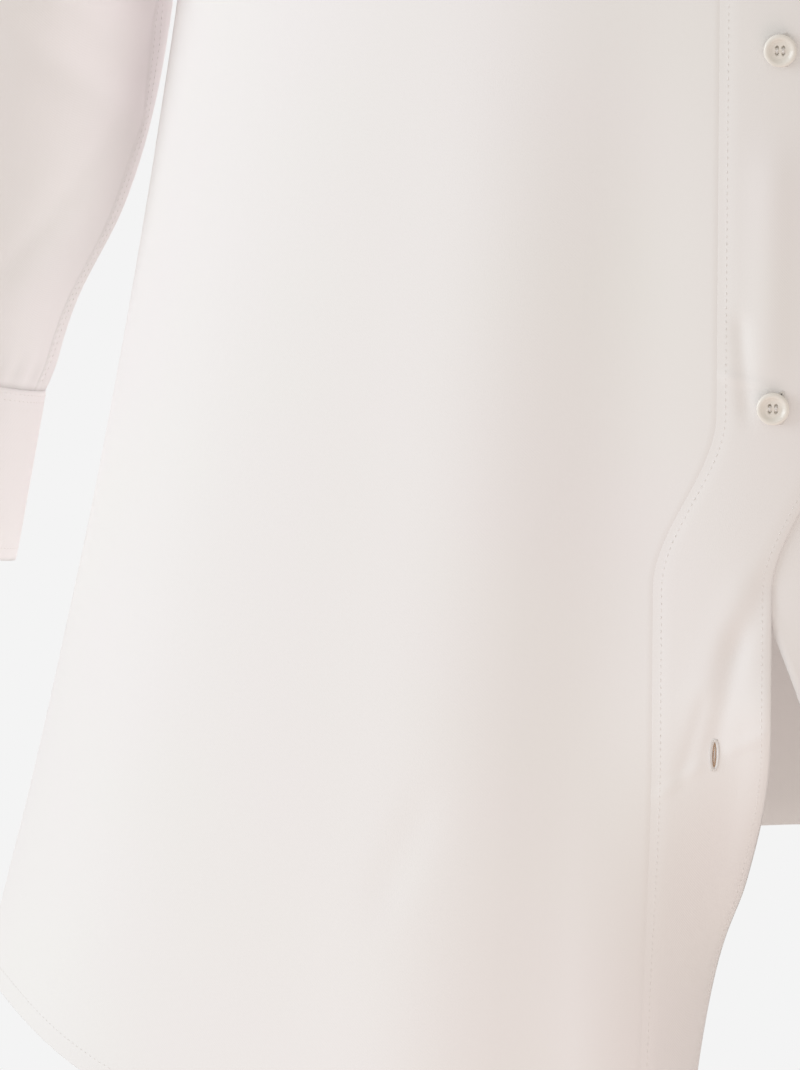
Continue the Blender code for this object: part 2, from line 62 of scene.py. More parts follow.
# ---------- the shirt's sizes, as in its solids
FACING = {"front": -1.0, "back": 1.0}       # which way each half of the body looks, along y
CLOTH = 0.0013
BAND = 0.0018
SEAM = 0.0003
LAP_GAP = 0.0005
NECK_HALF = 0.066
NECK_DROP = {"front": 0.102, "back": 0.022}
NECK_ROUND = {"front": 1.7, "back": 1.2}
NECK_SOFT = 0.050
SHOULDER_ROUND = 0.70
TIP_X = 0.222
SHOULDER_SLOPE = 0.45
SHOULDER_Y = 0.005
CHEST_Z = -0.330
CHEST_HALF = 0.1847
FLARE = 0.0944
SPREAD = 0.1715
CHEST_DEPTH = {"front": 0.148, "back": 0.138}
DEPTH_FLARE = {"front": 0.045, "back": 0.040}
ARM_CUT = {"front": 33.0, "back": 27.0}
ARM_ROUND = 0.6
HEM_SIDE = -0.815
TAIL_DROP = 0.053
TAIL_FROM = 0.19
TAIL_RUN = 1.15
PLACKET = 0.0395
UNDERLAP = 0.017
BUTTON_PITCH = 0.120
BUTTON_TOP = -0.213
BUTTON_COUNT = 6
LAST_CLOSED = BUTTON_TOP - (BUTTON_COUNT - 3) * BUTTON_PITCH
OPEN_HOLE = LAST_CLOSED - BUTTON_PITCH
SWING_TOP = LAST_CLOSED - 0.003
SWING = 0.021
SWING_END = -0.636
DRIFT = 0.012
DRIFT_FROM = -0.700
ROLL_FROM = -0.670
ROLL_LENGTH = 0.0408
ROLL_SOFT = 0.100
ROLL_MAX = math.radians(68.0)
ROLL_LEAD = 0.025
ROLL_BEND = 0.035
PART_TOP = LAST_CLOSED - 0.015
PART = 0.033
PART_END = -0.713
PART_DRIFT = 0.130
LAP_FLAT = 0.024
LAP_RAMP = 0.024
LAP_NECK = 0.0012
LAP_NECK_END = -0.190

FOLDS = {       # angle at the chest line and at the hem, width, all in degrees; height; top
    "front": (
        (-58, -60, 11, 0.002, -0.42),
        (-27, -27, 8, 0.0042, -0.33),
        (-12.5, -13.5, 7.5, -0.0052, -0.33),
        (15, 17, 7.5, -0.006, -0.34),
        (31, 33, 8, 0.0065, -0.36),
        (50, 51, 8.5, -0.005, -0.42),
        (68, 67, 8, 0.004, -0.45),
    ),
    "back": (
        (-66, -67, 8.5, 0.004, -0.43),
        (-47, -49, 9, -0.006, -0.36),
        (-28, -31, 9, 0.008, -0.33),
        (-10, -11, 8.5, -0.007, -0.34),
        (9, 8, 8.5, 0.006, -0.38),
        (27, 29, 9, -0.007, -0.34),
        (46, 48, 8.5, 0.007, -0.39),
        (65, 66, 8.5, -0.004, -0.43),
    ),
}
FOLD_RUN = 0.220
FOLD_START = 0.55
FOLD_SIDE = 13.0

SLEEVE_ROUTE = (
    (0.205, 0.0, -0.2),
    (0.245, 0.02, -0.29),
    (0.262, 0.075, -0.462),
    (0.2897, 0.045, -0.612),
)
SLEEVE_TABLE = (
    (0.0, 0.046, 0.092),
    (0.3, 0.047, 0.088),
    (0.5, 0.052, 0.085),
    (0.7, 0.0625, 0.078),
    (0.85, 0.0565, 0.066),
    (0.93, 0.045, 0.051),
    (1.0, 0.0405, 0.04),
)
SLEEVE_PUSH = 0.12
SLEEVE_BLEND = 0.45
SLEEVE_TUCK = 0.0005
CUFF_HEIGHT = 0.060
CUFF_HALF_WIDTH = 0.0385
CUFF_HALF_DEPTH = 0.0365
CUFF_OPENING = 235.0

STAND_HEIGHT = 0.031
STAND_INSET = 0.0005
STAND_LIFT = 0.0026
STAND_LEAN = 0.004
LEAF_FRONT_GAP = 3.0
LEAF_SPREAD = 34.0
LEAF_OUT = {"back": 0.0145, "front": 0.0260}
LEAF_CLEAR = 0.0056
LEAF_LIFT = 0.0016
LEAF_FALL = -0.010
LAP_DEGREES = 30.0       # a closed band laps itself by this much of a turn
STEP_DEGREES = 15.0

BUTTON_RADIUS = 0.0055
BUTTON_THICK = 0.0026
THREAD_HOLE_AT, THREAD_HOLE = 0.00105, 0.00062      # its four holes: off its middle both ways, and radius
UP = np.array((0.0, 0.0, 1.0))
FORWARD = np.array((0.0, -1.0, 0.0))
MIRROR = np.array((-1.0, 1.0, 1.0))

# ---------- cloth and sewing, real sizes
SHELL = 0.0007           # thickness of single cloth as drawn
BAND_SHELL = 0.0010      # and of doubled cloth
BAND_MIDDLE = 0.00085    # how far its middle lies off the form
CUFF_OVER = 0.0009       # the cuff's edge lies this far over the sleeve's end
CUFF_STITCH = 0.0036     # its stitches lie this far from its edges
LEAF_STITCH = 0.006      # and the collar leaf's this far from its own
RUN_ON = np.array((0.0012, 0.003, 0.006))    # columns of cloth that runs on inside a seam
TUCK_DEPTH = 0.0011      # it lies this deep, after a soft step
TUCK_STEP = 0.0016
TUCK_LEAD = 0.0006       # the step starts this far before the seam
ON_FACE = -1.0           # "beyond its seam" of a column on the face
UNDER_BAND = 0.007       # the right front runs on this far under the band
OVERLAP = 0.0005         # the band's edge lies this far over its seam
SEAM_DROP, SEAM_BEVEL = 0.00040, 0.0075      # there it turns down, by how much and over what width
FREE_DROP, FREE_BEVEL = 0.0007, 0.0018       # and so does its free edge
BAND_STITCH = 0.0030     # its stitches lie this far from its edges
HEM_WIDTH = 0.0065
HEM_STEP, HEM_GROOVE, HEM_BEAD = 0.00030, 0.00015, 0.00055
STITCH = 0.0024          # one stitch and the gap after it
STITCH_SHARE = 0.76      # the stitch's share of that
THREAD = 0.00013         # radius of the sewing thread

HOLE_LINE = 0.538        # buttonholes, as a share of the band's width from its seam
HOLE_HALF = 0.0048       # half of a slit's length
HOLE_OPEN = 0.0015       # the open slit's width, and that of one with its button through
HOLE_SHUT = 0.0007
HOLE_EASE = 6.0          # columns over which the band gives way to a slit
LIP, LIP_WIDTH = 0.00035, 0.0022             # a slit's lips stand up
PUCKER, PUCKER_WIDTH = 0.0002, 0.006         # and the cloth round them sinks
GIMP = 0.00030           # radius of the cord inside the open slit's lips
SATIN = 0.0013           # length of the stitches round a slit
SATIN_PITCH = 0.00034

PALE = (0.905, 0.905, 0.905, 1.0)
FLOOR_Z = -1.42
TARGET = Vector((-0.125, -0.155, -0.618))
DISTANCE = 3.0
ELEVATION = math.radians(15.0)
FRAME_LONG = 1070 / 3000.0      # height of the picture at the target, metres


# ---------- small helpers
def smooth(t):
    """Soft step: 0 below 0, 1 above 1, and 3t^2 - 2t^3 between."""
    t = np.clip(t, 0.0, 1.0)
    return t * t * (3.0 - 2.0 * t)


def bell(x, width):
    """1 at 0, falling away to both sides by exp(-(x / width)^2)."""
    return np.exp(-((x / width) ** 2))


def through(x, xs, ys):
    """A smooth curve through the table's points: cubic pieces that share their slopes."""
    xs, ys = np.asarray(xs, float), np.asarray(ys, float)
    slopes = np.gradient(ys, xs)
    i = np.clip(np.searchsorted(xs, x, side="right") - 1, 0, len(xs) - 2)
    step = xs[i + 1] - xs[i]
    t = (x - xs[i]) / step
    rise = (2 * t**3 - 3 * t**2 + 1) * ys[i] + (3 * t**2 - 2 * t**3) * ys[i + 1]
    return rise + step * ((t**3 - 2 * t**2 + t) * slopes[i] + (t**3 - t**2) * slopes[i + 1])


def cubic(t, a, b, c, d):
    """The cubic curve from a to d, pulled by b and c."""
    return (1 - t)**3 * a + 3 * (1 - t)**2 * t * b + 3 * (1 - t) * t**2 * c + t**3 * d


def lengths(points, axis=0):
    """Distance run along one axis of the points, from 0 at its start."""
    run = np.cumsum(np.linalg.norm(np.diff(points, axis=axis), axis=-1), axis)
    return np.concatenate((np.zeros_like(np.take(run, (0,), axis)), run), axis)


def unit(vectors):
    return vectors / np.maximum(np.linalg.norm(vectors, axis=-1, keepdims=True), 1e-12)


def normals_of(grid, closed=False):
    """Direction across the grid at each point: along the rows crossed with down the columns."""
    if closed:
        wide = np.concatenate((grid[:, -2:-1], grid, grid[:, 1:2]), axis=1)
        across = (wide[:, 2:] - wide[:, :-2]) / 2
    else:
        across = np.gradient(grid, axis=1)
    return unit(np.cross(np.gradient(grid, axis=0), across))


def outward(normals, guide):
    """The normals, turned all together to the guide's side."""
    return normals * np.sign((normals * guide).sum(axis=-1).mean())


# ---------- the body's form
def half_width(z):
    """Half width below the chest line: a parabola of the drop below it."""
    drop = CHEST_Z - z
    return CHEST_HALF + FLARE * drop + SPREAD * drop**2


def fold_height(angle, z, part):
    """Sum of the panel's largest folds: each a bell across its angle that grows from its top to the hem."""
    total = np.zeros(np.broadcast(angle, z).shape)
    low = np.clip((CHEST_Z - z) / (CHEST_Z - HEM_SIDE), 0.0, 1.0)
    for start, finish, width, height, top in FOLDS[part]:
        grown = smooth((top - z) / FOLD_RUN) * (FOLD_START + (1 - FOLD_START) * low)
        total = total + height * grown * bell(angle - (start + (finish - start) * low), width)
    return total * smooth((90.0 - np.abs(angle)) / FOLD_SIDE)


def lower_point(angle, z, part, side=1):
    """Below the chest line: an ellipse at each height, moved outwards by the folds."""
    a, b = half_width(z), CHEST_DEPTH[part] + DEPTH_FLARE[part] * (CHEST_Z - z)
    sine, cosine = np.sin(angle), np.cos(angle)
    out = unit(np.stack((sine / a, FACING[part] * cosine / b), axis=-1))
    out = out * fold_height(side * np.degrees(angle), z, part)[..., None]
    return np.stack((a * sine + out[..., 0], FACING[part] * b * cosine + out[..., 1], z), axis=-1)


def ridge_z(across):
    """Shoulder line: a hyperbola, level at the middle, straight outwards, 0 at the sides of the neck."""
    return SHOULDER_SLOPE * (math.hypot(NECK_HALF, NECK_SOFT) - np.hypot(across, NECK_SOFT))


def upper_reach(v):
    """Half width above the chest line, v going from 0 there to 1 at the shoulder: a cubic in v."""
    rise = CHEST_Z - ridge_z(TIP_X)
    return CHEST_HALF + FLARE * rise * v * (1 - v) ** 2 + (TIP_X - CHEST_HALF) * v**3


def form_y(x, z, part):
    """Depth above the chest line: the chest's ellipse times (1 - v^2)^0.7, closing over the shoulder line."""
    v = np.clip((z - CHEST_Z) / (ridge_z(x) - CHEST_Z), 0.0, 1.0)
    rise = CHEST_Z - ridge_z(TIP_X)
    bulge = CHEST_DEPTH[part] + DEPTH_FLARE[part] * rise * v * (1 - v) ** 2
    full = (1 - v**2) ** SHOULDER_ROUND
    ellipse = np.sqrt(np.clip(1 - (x / upper_reach(v)) ** 2, 0.0, 1.0))
    return full * FACING[part] * bulge * ellipse + (1 - full) * (SHOULDER_Y + FACING[part] * SEAM / 2)


def neck_z(across, part):
    """Height of the neckline: its drop times a power of the circle's height."""
    return -NECK_DROP[part] * np.clip(1 - (across / NECK_HALF) ** 2, 0.0, 1.0) ** (NECK_ROUND[part] / 2)


def side_angle(part):
    return math.pi / 2 - SEAM / 2 / CHEST_DEPTH[part]


def upper_point(turn, v, part):
    """Above the chest line: from an angle on the chest's ellipse to the neckline or the shoulder line, with
    the armhole cutting in by the square of the share of the way to the side."""
    top_x = np.abs(TIP_X * np.sin(turn))
    top_z = np.where(top_x < NECK_HALF, neck_z(top_x, part), ridge_z(top_x))
    cut = math.radians(ARM_CUT[part]) * (4 * v * (1 - v)) ** ARM_ROUND
    share = turn / side_angle(part)
    x = upper_reach(v) * np.sin(turn - cut * share * np.abs(share))
    z = CHEST_Z + (top_z - CHEST_Z) * v
    return np.stack(np.broadcast_arrays(x, form_y(x, z, part), z), axis=-1)


def hem_z(angle):
    """Front hem: level at the side seam, with a round drop to the tail."""
    return HEM_SIDE - TAIL_DROP * smooth((np.cos(angle) - TAIL_FROM) / TAIL_RUN)


def right_edge(z):
    """Band's seam on the right front, from the centre line: a soft step where the free edge swings away."""
    swing = SWING * smooth((SWING_TOP - z) / (SWING_TOP - SWING_END))
    return PLACKET / 2 + SEAM + swing + DRIFT * np.maximum(DRIFT_FROM - z, 0.0)


def left_edge(z):
    """Left front's free edge, from the centre line towards the wearer's left."""
    part = PART * smooth((PART_TOP - z) / (PART_TOP - PART_END))
    return -UNDERLAP + part + PART_DRIFT * np.maximum(PART_END - z, 0.0)


def roll_back(points):
    """Roll the free edge into the body: an arc of growing angle, then a straight run."""
    z = points[..., 2]
    start = right_edge(z) + ROLL_LEAD
    drop = np.maximum(ROLL_FROM - z, 0.0)
    angle = ROLL_MAX * (1 - np.exp(-(drop**2) / (drop + ROLL_SOFT) / ROLL_LENGTH))
    bend = np.maximum(angle / ROLL_BEND, 1e-6)
    along = np.maximum(start - points[..., 0], 0.0)
    curved, straight = np.minimum(along, ROLL_BEND), np.maximum(along - ROLL_BEND, 0.0)
    across = np.sin(bend * curved) / bend + straight * np.cos(angle)
    back = (1 - np.cos(bend * curved)) / bend + straight * np.sin(angle)
    rolled = points.copy()
    rolled[..., 0] = np.where(along > 0, start - across, points[..., 0])
    rolled[..., 1] += back
    return rolled


def lap_under(points):
    """Sink the left front under the band by the wall and the gap, deeper at the neck's tight curve."""
    sunk = 1 - smooth((points[..., 0] - LAP_FLAT) / LAP_RAMP)
    lapped = points.copy()
    at_neck = smooth((points[..., 2] - LAP_NECK_END) / (-NECK_DROP["front"] - LAP_NECK_END))
    lapped[..., 1] += (CLOTH + LAP_GAP + LAP_NECK * at_neck) * sunk
    return lapped


def upper_rows(count):
    """Rows from the neck to the chest line, as shares of the way up from there: closer at both ends."""
    return 0.5 * (1 - np.cos(np.pi * np.arange(count, -1, -1) / count))[:, None]


def lower_rows(count):
    """Rows below the chest line as shares of the way down; one more just above the hem keeps it crisp."""
    return np.append(np.arange(1, count) / count, (0.9992, 1.0))[:, None]


UPPER_ROWS = 72
UPPER, LOWER = upper_rows(UPPER_ROWS), lower_rows(136)


def front_points(edge, angles, side, upper=UPPER, lower=LOWER):
    """Rows of a front from the neck down, measured from the centre line towards its own side."""
    end = side_angle("front")
    top_edge = edge(CHEST_Z)
    high = upper_point(angles(upper_reach(upper), top_edge, end), upper, "front")
    z = CHEST_Z + (hem_z(angles(CHEST_HALF, top_edge, end)) - CHEST_Z) * lower
    low = lower_point(angles(half_width(z), edge(z), end), z, "front", side)
    return np.concatenate((high, low), axis=0)


def panel_angles(shares):
    """Columns at fixed shares of the way from the panel's edge to its side."""
    def angles(reach, edge_x, end):
        start = np.arcsin(edge_x / reach)
        return start + (end - start) * shares
    return angles


def band_angles(offsets):
    """Columns at fixed distances from the band's seam towards its free edge."""
    def angles(reach, edge_x, end):
        return np.arcsin((edge_x - offsets) / reach)
    return angles


# ---------- finer creases, listed one by one
CREASES = {     # metres: x to the wearer's left and z of its start, x and z of its end, width, height
    "front": (
        (-0.004, -0.636, -0.013, -0.655, 0.005, -0.0012),
        (-0.013, -0.655, -0.019, -0.686, 0.004, -0.0011),
        (-0.012, -0.64, -0.022, -0.668, 0.006, 0.0007),
        (-0.024, -0.676, -0.03, -0.7, 0.0026, -0.0005),
        (-0.036, -0.706, -0.026, -0.698, 0.002, 0.0004),
        (-0.013, -0.69, -0.004, -0.684, 0.0022, 0.0005),
        (-0.012, -0.548, -0.01, -0.572, 0.003, -0.0009),
        (-0.004, -0.566, -0.016, -0.563, 0.0016, 0.0006),
        (0.0, -0.678, -0.002, -0.742, 0.009, 0.003),
        (-0.002, -0.5, -0.003, -0.552, 0.007, 0.0012),
        (-0.12, -0.722, -0.128, -0.742, 0.007, -0.0008),
        (0.15, -0.27, 0.07, -0.37, 0.011, -0.0022),
        (0.165, -0.32, 0.1, -0.43, 0.012, 0.002),
        (-0.155, -0.27, -0.09, -0.335, 0.012, -0.0018),
        (-0.13, -0.23, -0.08, -0.29, 0.01, 0.0014),
        (0.06, -0.6, 0.05, -0.76, 0.01, 0.0012),
        (0.13, -0.56, 0.15, -0.78, 0.012, -0.0014),
    ),
    "back": (
        (-0.165, -0.285, -0.06, -0.37, 0.012, -0.0026),
        (-0.175, -0.32, -0.085, -0.43, 0.011, 0.0022),
        (0.165, -0.275, 0.07, -0.35, 0.012, -0.0024),
        (0.17, -0.31, 0.09, -0.4, 0.01, 0.0018),
        (-0.09, -0.15, -0.04, -0.33, 0.012, 0.0016),
        (0.08, -0.16, 0.05, -0.33, 0.012, -0.0015),
        (0.02, -0.42, 0.01, -0.7, 0.012, 0.0022),
        (-0.1, -0.5, -0.12, -0.76, 0.011, 0.0018),
        (0.11, -0.52, 0.13, -0.78, 0.01, -0.0016),
    ),
}


def crease_height(x, z, table):
    """Sum of the creases: each a bell of the distance to its line, thinning out at the line's ends."""
    total = np.zeros(np.broadcast(x, z).shape)
    for x0, z0, x1, z1, width, height in table:
        run_x, run_z = x1 - x0, z1 - z0
        length = math.hypot(run_x, run_z)
        t = ((x - x0) * run_x + (z - z0) * run_z) / length**2
        off = ((x - x0) * run_z - (z - z0) * run_x) / length
        past = np.maximum(np.maximum(-t, t - 1), 0.0) * length
        total = total + height * np.exp(-((off / width) ** 2) - (past / (2 * width)) ** 2)
    return total


def ripple(x, z, scale, height, seed):
    """Slow unevenness of worn cloth: a few crossed sine waves of fixed, unequal lengths."""
    waves = ((1.0, 0.31, 0.4), (0.62, -0.55, 1.9), (1.43, 0.9, 4.1), (0.35, 1.21, 2.7))
    total = 0.0
    for i, (a, b, c) in enumerate(waves):
        total = total + np.sin((a * x + b * z) / scale + c * seed + i)
    return height * total / len(waves)


# ---------- meshes and materials
def quad_piece(name, points, quads):
    """A piece of four-cornered faces, smoothly shaded."""
    mesh = bpy.data.meshes.new(name)
    mesh.vertices.add(points.size // 3)
    mesh.vertices.foreach_set("co", points.reshape(-1).astype(np.float32))
    mesh.loops.add(quads.size)
    mesh.loops.foreach_set("vertex_index", quads.reshape(-1).astype(np.int32))
    mesh.polygons.add(len(quads))
    mesh.polygons.foreach_set("loop_start", (np.arange(len(quads)) * 4).astype(np.int32))
    mesh.update(calc_edges=True)
    mesh.polygons.foreach_set("use_smooth", np.ones(len(quads), bool))
    piece = bpy.data.objects.new(name, mesh)
    bpy.context.scene.collection.objects.link(piece)
    return piece


def surface(name, grid, closed=False):
    """A grid of points as a mesh: rows down, columns to the wearer's left, faces outwards, and the lengths
    measured along the cloth as its UV map, in metres."""
    rows, columns = grid.shape[:2]
    r, c = np.meshgrid(np.arange(rows - 1), np.arange(columns - 1), indexing="ij")
    corner = r * columns + c
    loops = np.stack((corner, corner + columns, corner + columns + 1, corner + 1), axis=-1).reshape(-1, 4)
    width = columns - 1 if closed else columns
    quads = loops // columns * width + loops % columns % width
    u, v = lengths(grid, 1), lengths(grid)
    u = u - u[:, columns // 2][:, None]
    piece = quad_piece(name, grid[:, :width], quads)
    flat = np.stack((u, v), axis=-1).reshape(-1, 2)[loops.reshape(-1)]
    piece.data.uv_layers.new(name="cloth").data.foreach_set("uv", flat.reshape(-1).astype(np.float32))
    return piece


def thicken(piece, wall):
    """Cloth's thickness on both sides of its middle surface."""
    thick = piece.modifiers.new("cloth", "SOLIDIFY")
    thick.thickness = wall
    thick.offset = 0.0
    return piece


def tree(owner):
    """Nodes and links of a material or world."""
    owner.use_nodes = True
    return owner.node_tree.nodes, owner.node_tree.links


def preset(node, inputs):
    """Set the values of a node's inputs."""
    for key, value in inputs.items():
        node.inputs[key].default_value = value
    return node


def put(nodes, kind, inputs=(), **values):
    """A new node with its settings and the values of its inputs."""
    node = nodes.new(kind)
    for key, value in values.items():
        setattr(node, key, value)
    return preset(node, dict(inputs))


def mottled(name, roughness, light, dark, scale, detail=2.0):
    """A material whose colour drifts between two shades; its coordinates, shader, nodes and links too."""
    material = bpy.data.materials.new(name)
    nodes, links = tree(material)
    shader = preset(nodes["Principled BSDF"], {"Roughness": roughness})
    place = put(nodes, "ShaderNodeTexCoord")
    drift = put(nodes, "ShaderNodeTexNoise", {"Scale": scale, "Detail": detail})
    colour = put(nodes, "ShaderNodeMix", {"A": (*light, 1.0), "B": (*dark, 1.0)}, data_type="RGBA")
    links.new(place.outputs["Object"], drift.inputs["Vector"])
    links.new(drift.outputs["Fac"], colour.inputs["Factor"])
    links.new(colour.outputs["Result"], shader.inputs["Base Color"])
    return material, place, shader, nodes, links


def cloth_material():
    """Fine plain-woven cotton: crossed threads and slubs as bump, faint warm and cool drifts of colour."""
    material, place, shader, nodes, links = mottled(
        "off_white_cotton", 0.82, (0.830, 0.826, 0.800), (0.840, 0.808, 0.812), scale=14.0, detail=3.0)
    preset(shader, {"Specular IOR Level": 0.25, "Sheen Weight": 0.12, "Sheen Roughness": 0.5})

    def bump(height, strength, distance):
        node = put(nodes, "ShaderNodeBump", {"Strength": strength, "Distance": distance})
        links.new(height, node.inputs["Height"])
        return node

    split = put(nodes, "ShaderNodeSeparateXYZ")
    links.new(place.outputs["UV"], split.inputs["Vector"])
    weave = put(nodes, "ShaderNodeMath", operation="MULTIPLY")
    for i, (axis, spacing) in enumerate((("X", 0.00042), ("Y", 0.00050))):
        scaled = put(nodes, "ShaderNodeMath", {1: math.pi / spacing}, operation="MULTIPLY")
        wave = put(nodes, "ShaderNodeMath", operation="SINE")
        links.new(split.outputs[axis], scaled.inputs[0])
        links.new(scaled.outputs[0], wave.inputs[0])
        links.new(wave.outputs[0], weave.inputs[i])
    stretch = put(nodes, "ShaderNodeMapping", {"Scale": (900.0, 120.0, 1.0)})
    slub = put(nodes, "ShaderNodeTexNoise", {"Scale": 1.0, "Detail": 3.0})
    links.new(place.outputs["UV"], stretch.inputs["Vector"])
    links.new(stretch.outputs["Vector"], slub.inputs["Vector"])
    threads, slubs = bump(weave.outputs[0], 0.14, 0.00006), bump(slub.outputs["Fac"], 0.16, 0.00012)
    links.new(threads.outputs["Normal"], slubs.inputs["Normal"])
    links.new(slubs.outputs["Normal"], shader.inputs["Normal"])
    return material


COTTON = cloth_material()
BUTTON = mottled("polished_button", 0.22, (0.86, 0.83, 0.77), (0.78, 0.74, 0.68), scale=260.0)[0]
SEWING = mottled("sewing_thread", 0.55, (0.86, 0.84, 0.82), (0.80, 0.77, 0.74), scale=900.0)[0]
# tan of the cord in the open slit: painted shade, the dark warm shade seen where the slit gapes
SLIT_SHADE_TAN = mottled("slit_shade_tan_cord", 0.55, (0.82, 0.62, 0.45), (0.68, 0.50, 0.35), scale=900.0)[0]


def wear(piece, node, material=COTTON):
    """Finish a piece: material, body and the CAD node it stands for."""
    piece.data.materials.append(material)
    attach(piece, "root")
    if node:
        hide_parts(node)
    return piece


# ---------- sewing
def sample(grid, rows, columns):
    """Points of a grid at fractional rows and columns."""
    r = np.clip(np.floor(rows).astype(int), 0, grid.shape[0] - 2)
    c = np.clip(np.floor(columns).astype(int), 0, grid.shape[1] - 2)
    fr, fc = (rows - r)[..., None], (columns - c)[..., None]
    upper = (1 - fc) * grid[r, c] + fc * grid[r, c + 1]
    lower = (1 - fc) * grid[r + 1, c] + fc * grid[r + 1, c + 1]
    return (1 - fr) * upper + fr * lower


BAR_RINGS = ((0.0, 0.4, -0.7), (0.5, 1.0, 0.7), (1.0, 0.4, -0.7))   # share along, thickness, height


def bars(name, starts, ends, out, radius, material=None):
    """Single stitches as short bars: three rings of four corners each, thick and raised in the middle."""
    along = unit(ends - starts)
    side = unit(np.cross(along, out))
    out = np.cross(side, along)
    rings = []
    for share, thick, height in BAR_RINGS:
        middle = starts + (ends - starts) * share + out * radius * height
        corners = [middle + (side * math.cos(a) + out * math.sin(a)) * radius * thick
                   for a in np.arange(4) * math.pi / 2]
        rings.append(np.stack(corners, axis=1))
    points = np.stack(rings, axis=1).reshape(len(starts), -1, 3)
    ring, corner = np.meshgrid(np.arange(2), np.arange(4), indexing="ij")
    a, b = ring * 4 + corner, ring * 4 + (corner + 1) % 4
    faces = np.stack((a, b, b + 4, a + 4), axis=-1).reshape(-1, 4)
    faces = np.concatenate((faces, ((3, 2, 1, 0), (8, 9, 10, 11))))
    faces = (faces[None] + np.arange(len(starts))[:, None, None] * points.shape[1]).reshape(-1, 4)
    return wear(quad_piece(name, points, faces), None, material or SEWING)


def sew(name, cloth, lines, wall=SHELL):
    """Rows of stitches on a piece of cloth. Each line is a path of rows and columns on the piece's grid, one
    of which may be a single number; stitches follow it at an even pitch along the cloth's outer face."""
    grid, out = cloth
    face = grid + out * wall / 2
    begins, finishes = [], []
    for rows, columns in lines:
        rows, columns = np.broadcast_arrays(np.asarray(rows, float), np.asarray(columns, float))
        path = sample(face, rows, columns)
        run = lengths(path)
        first = np.arange(0.0, run[-1] - STITCH, STITCH)
        for kept, at in ((begins, first), (finishes, first + STITCH * STITCH_SHARE)):
            kept.append((np.interp(at, run, rows), np.interp(at, run, columns)))
    begin, finish = np.concatenate(begins, axis=1), np.concatenate(finishes, axis=1)
    return bars(name, sample(face, *begin), sample(face, *finish), unit(sample(out, *begin)), THREAD)


# ---------- the panels
def raised(grid, out, height):
    return grid + out * np.asarray(height)[..., None]


def tucked(distance, start=-TUCK_LEAD):
    """How deep cloth lies that runs on inside a seam: nothing on the face, then a soft step inwards."""
    return -TUCK_DEPTH * smooth((distance - start) / TUCK_STEP)


def hem_band(z):
    """Narrow turned hem: a soft step up at its top, a groove at its stitches and a bead along its edge."""
    left = np.abs(z - z[-1:])
    step = HEM_STEP * smooth((HEM_WIDTH + 0.0010 - left) / 0.0020)
    return step - HEM_GROOVE * bell(left - HEM_WIDTH + 0.0012, 0.0007) + HEM_BEAD * bell(left, 0.0022)


def row_above_hem(grid, distance):
    """Fractional row at a distance above the hem, measured on the middle column."""
    middle = grid[:, grid.shape[1] // 2]
    left = np.linalg.norm(middle - middle[-1], axis=1)
    return float(np.interp(-distance, -left, np.arange(len(left))))


def front_relief(x, z):
    """Everything that raises or sinks a front: creases, slow ripples and the hem."""
    return crease_height(x, z, CREASES["front"]) + ripple(x, z, 0.016, 0.00016, 1.0) + hem_band(z)


def sew_front(label, side, grid, out):
    """A front's own stitches: along its hem, in two rows beside its armhole, and along its shoulder."""
    last = grid.shape[1] - 1.0
    side_column, edge_column = (3.0, last - 5.0) if side < 0 else (last - 3.0, 1.0)
    down = np.linspace(2.0, UPPER_ROWS, 200)
    across = np.linspace(min(side_column, edge_column), max(side_column, edge_column), 300)
    shoulder = np.linspace(side_column, side_column - side * grid.shape[1] * 0.45, 120)
    lines = ((row_above_hem(grid, HEM_WIDTH), across), (down, side_column - 1.0 * side),
             (down, side_column - 3.4 * side), (7.0, shoulder))
    sew(f"stitches_front_{label}", (grid, out), lines)


def front(label, side, edge, columns, inner, bend):
    """A front as a fine grid, its relief measured before it is bent into place. inner is how far its cloth
    runs on under the band; that cloth starts down only at its seam."""
    end = side_angle("front")
    past = RUN_ON / CHEST_DEPTH["front"] / (end - math.asin(float(edge(CHEST_Z)) / CHEST_HALF))
    shares = np.concatenate((np.linspace(0, 1, columns + 1), 1 + past))
    base = front_points(edge, panel_angles(shares), side)
    beyond = np.concatenate((np.full(columns + 1, ON_FACE), RUN_ON))
    if inner:
        under = np.array((inner, inner * 0.6, 0.0012, 0.0004))
        base = np.concatenate((front_points(edge, band_angles(under), side), base), axis=1)
        beyond = np.concatenate((under, beyond))
    tuck = np.where(np.arange(len(beyond)) < 4, tucked(beyond, start=0.0), tucked(beyond))
    relief = front_relief(base[..., 0] * side, base[..., 2]) + tuck[None, :]
    placed = bend(base)
    if side < 0:
        placed, relief = (placed * MIRROR)[:, ::-1], relief[:, ::-1]
    out = outward(normals_of(placed), FORWARD)
    grid = raised(placed, out, CLOTH / 2 + relief)
    piece = wear(thicken(surface(f"front_{label}", grid), SHELL), f"front_{label}")
    sew_front(label, side, grid, out)
    return piece, grid


PLACKET_COLUMNS = 44
PLACKET_STEP = PLACKET / PLACKET_COLUMNS
HOLES = [BUTTON_TOP - i * BUTTON_PITCH for i in range(BUTTON_COUNT - 1)]


def slit_width(z):
    """Width of the buttonholes at a height: a lens at each hole, wider at the open one."""
    total = np.zeros_like(z)
    for hole in HOLES:
        widest = HOLE_OPEN if hole == HOLES[-1] else HOLE_SHUT
        total = total + widest * np.sqrt(np.clip(1 - ((z - hole) / HOLE_HALF) ** 2, 0.0, 1.0))
    return total


